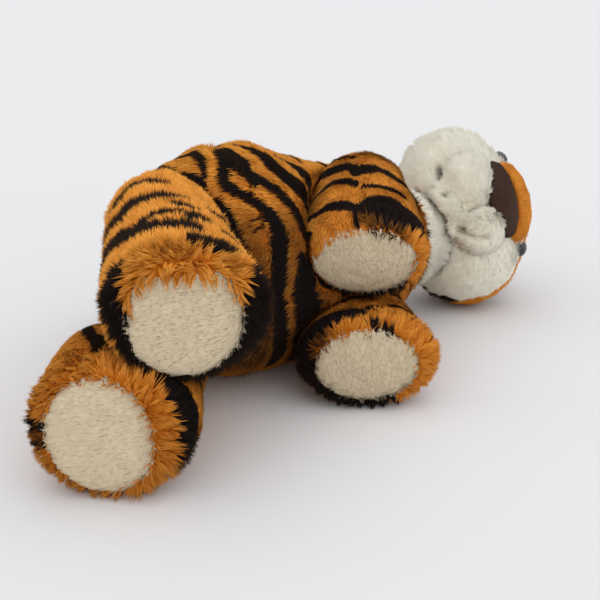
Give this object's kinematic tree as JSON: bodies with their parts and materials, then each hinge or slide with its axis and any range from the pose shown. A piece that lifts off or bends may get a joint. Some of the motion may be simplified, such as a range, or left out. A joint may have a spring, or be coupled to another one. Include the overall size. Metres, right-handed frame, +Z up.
{
  "type": "plush tiger",
  "caption": "Stuffed striped tiger lying on its side, with legs, head, ears and tail that bend at their seams.",
  "frame": {"origin": "middle of the flat spot on which the body lies, on the floor", "axes": "+X from the rump to the crown of the head, -Y the belly side, where legs and face point, +Z up, towards the tiger's right side"},
  "size_m": [0.4165, 0.3151, 0.1419],
  "materials": {
    "orange_plush": "striped long-pile plush, orange with black stripes",
    "tan_sole_plush": "short-pile tan plush",
    "white_plush": "woolly cream-white plush",
    "plum_nose_plush": "short plum-brown velour",
    "black_eye": "glossy black moulded eye",
    "white_washer": "white lock washer",
    "white_filling": "loose white fibre filling"
  },
  "bodies": {
    "trunk": {"back_panel": "orange_plush", "belly_panel": "orange_plush", "body_stuffing": "white_filling", "rump_panel": "orange_plush", "throat_panel": "white_plush"},
    "hind_left_leg": {"hind_left_sole": "tan_sole_plush", "hind_left_stuffing": "white_filling", "hind_left_top_panel": "orange_plush", "hind_left_under_panel": "orange_plush"},
    "hind_right_leg": {"hind_right_sole": "tan_sole_plush", "hind_right_stuffing": "white_filling", "hind_right_top_panel": "orange_plush", "hind_right_under_panel": "orange_plush"},
    "fore_left_leg": {"fore_left_sole": "tan_sole_plush", "fore_left_stuffing": "white_filling", "fore_left_top_panel": "orange_plush", "fore_left_under_panel": "orange_plush"},
    "fore_right_leg": {"fore_right_sole": "tan_sole_plush", "fore_right_stuffing": "white_filling", "fore_right_top_panel": "orange_plush", "fore_right_under_panel": "orange_plush"},
    "head": {"chin": "white_plush", "crown_panel": "orange_plush", "eye_left": "black_eye", "eye_right": "black_eye", "eye_washer_left": "white_washer", "eye_washer_right": "white_washer", "face_panel": "white_plush", "head_stuffing": "white_filling", "muzzle_left": "white_plush", "muzzle_right": "white_plush", "nose": "plum_nose_plush", "nose_bridge": "orange_plush"},
    "ear_right": {"ear_right_back": "orange_plush", "ear_right_lining": "white_plush"},
    "ear_left": {"ear_left_back": "orange_plush", "ear_left_lining": "white_plush"},
    "tail": {"tail_skin": "orange_plush", "tail_stuffing": "white_filling"}
  },
  "joints": [
    {"name": "hind_left_hip", "type": "hinge", "parent": "trunk", "child": "hind_left_leg", "pos_m": [-0.08198, -0.02594, 0.03432], "axis": [0, 0, 1], "range_deg": [-15, 0], "stiffness_Nm_per_rad": 0.1},
    {"name": "hind_right_hip", "type": "hinge", "parent": "trunk", "child": "hind_right_leg", "pos_m": [-0.0784, -0.02277, 0.10582], "axis": [-0.9537, 0.3007, 0], "range_deg": [0, 35], "stiffness_Nm_per_rad": 0.1},
    {"name": "fore_left_hip", "type": "hinge", "parent": "trunk", "child": "fore_left_leg", "pos_m": [0.04704, -0.0414, 0.03003], "axis": [0, 0, 1], "range_deg": [-12, 12], "stiffness_Nm_per_rad": 0.1},
    {"name": "fore_right_hip", "type": "hinge", "parent": "trunk", "child": "fore_right_leg", "pos_m": [0.056, -0.02553, 0.10582], "axis": [-0.8572, 0.515, 0], "range_deg": [0, 35], "stiffness_Nm_per_rad": 0.1},
    {"name": "neck_nod", "type": "hinge", "parent": "trunk", "child": "head", "pos_m": [0.138, 0.026, 0.058], "axis": [0, 0, 1], "range_deg": [-15, 15], "stiffness_Nm_per_rad": 0.2},
    {"name": "ear_right_fold", "type": "hinge", "parent": "head", "child": "ear_right", "pos_m": [0.2201, 0.06311, 0.08117], "axis": [0.4239, -0.4742, -0.7716], "range_deg": [-15, 15], "stiffness_Nm_per_rad": 0.005},
    {"name": "ear_left_fold", "type": "hinge", "parent": "head", "child": "ear_left", "pos_m": [0.21627, 0.03193, 0.02331], "axis": [-0.5261, -0.3575, -0.7716], "range_deg": [-15, 15], "stiffness_Nm_per_rad": 0.005},
    {"name": "tail_swing", "type": "hinge", "parent": "trunk", "child": "tail", "pos_m": [-0.0672, 0.06003, 0.05148], "axis": [0, 0, 1], "range_deg": [-10, 10], "stiffness_Nm_per_rad": 0.02}
  ]
}
